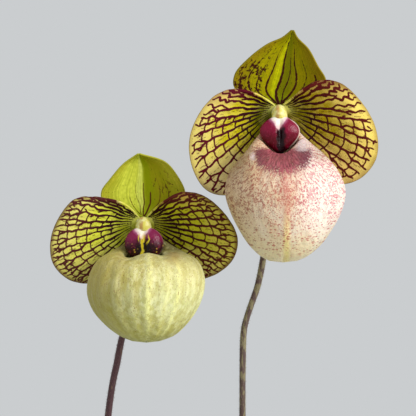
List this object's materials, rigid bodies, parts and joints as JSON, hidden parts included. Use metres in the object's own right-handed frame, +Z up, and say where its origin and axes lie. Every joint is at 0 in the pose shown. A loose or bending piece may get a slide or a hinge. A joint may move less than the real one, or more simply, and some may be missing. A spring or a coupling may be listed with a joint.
{
  "type": "potted paphiopedilum fanaticum",
  "caption": "Slipper orchid in flower: net-veined petals and inflated pouches on upright hairy stems above fans of strap leaves, growing in bark in a plain round clay pot.",
  "frame": {"origin": "middle of the pot's flat foot, on the surface that it stands on", "axes": "+Z up along the pot's axis, -Y the way the flowers face, +X to the right as seen from the front"},
  "size_m": [0.1976, 0.2161, 0.3893],
  "materials": {
    "clay": "unglazed fired clay, matt, slightly mottled with pale lime bloom",
    "bark": "chipped bark potting mix, rough and dry",
    "root": "velvety fawn root skin",
    "leaf": "leathery satin leaf, marbled dark and pale green, purple dotted below",
    "stem": "finely hairy stem, purple-brown over olive",
    "ovary": "finely hairy ribbed ovary and bract, green with purple flecks",
    "sepal": "satin yellow-green sepal with dark maroon veins",
    "petal": "satin yellow petal with a net of dark maroon veins",
    "green_pouch": "waxy pale yellow-green pouch with faint ribs",
    "pink_pouch": "waxy cream pouch speckled rose",
    "column": "glossy magenta-purple shield on a cream column"
  },
  "bodies": {
    "root": {"pot": "clay", "potting_mix": "bark", "crown_a": "root", "leaf_a_1": "leaf", "leaf_a_2": "leaf", "leaf_a_3": "leaf", "leaf_a_4": "leaf", "leaf_a_5": "leaf", "stem_a": "stem", "bract_a": "ovary", "ovary_a": "ovary", "dorsal_sepal_a": "sepal", "synsepal_a": "sepal", "left_petal_a": "petal", "right_petal_a": "petal", "pouch_a": "green_pouch", "column_a": "column", "crown_b": "root", "leaf_b_1": "leaf", "leaf_b_2": "leaf", "leaf_b_3": "leaf", "leaf_b_4": "leaf", "leaf_b_5": "leaf", "stem_b": "stem", "bract_b": "ovary", "ovary_b": "ovary", "dorsal_sepal_b": "sepal", "synsepal_b": "sepal", "left_petal_b": "petal", "right_petal_b": "petal", "pouch_b": "pink_pouch", "column_b": "column"}
  },
  "joints": []
}
